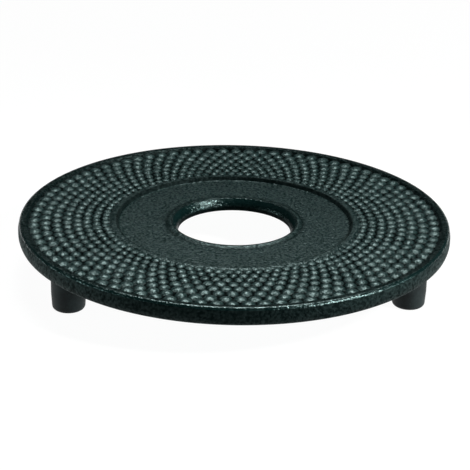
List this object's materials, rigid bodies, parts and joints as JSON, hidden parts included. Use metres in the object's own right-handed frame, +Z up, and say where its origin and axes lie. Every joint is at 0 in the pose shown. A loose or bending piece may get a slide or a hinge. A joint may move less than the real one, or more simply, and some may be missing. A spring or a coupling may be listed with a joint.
{
  "type": "teapot trivet",
  "caption": "Round cast-iron stand for a hot teapot: a nub-covered plate with a smooth round recess and a collared hole in the middle, on rubber-capped legs.",
  "frame": {"origin": "on the plate's axis, on the table that the foot caps stand on", "axes": "+Z up along the axis of the plate and its hole; -Y is the front, with one leg at the back on +Y"},
  "size_m": [0.1528, 0.1528, 0.0195],
  "materials": {
    "iron": "dark lacquered casting with a satin sheen",
    "foot_rubber": "matte black rubber"
  },
  "bodies": {
    "root": {"plate": "iron", "rear_foot_cap": "foot_rubber", "left_foot_cap": "foot_rubber", "right_foot_cap": "foot_rubber"}
  },
  "joints": []
}
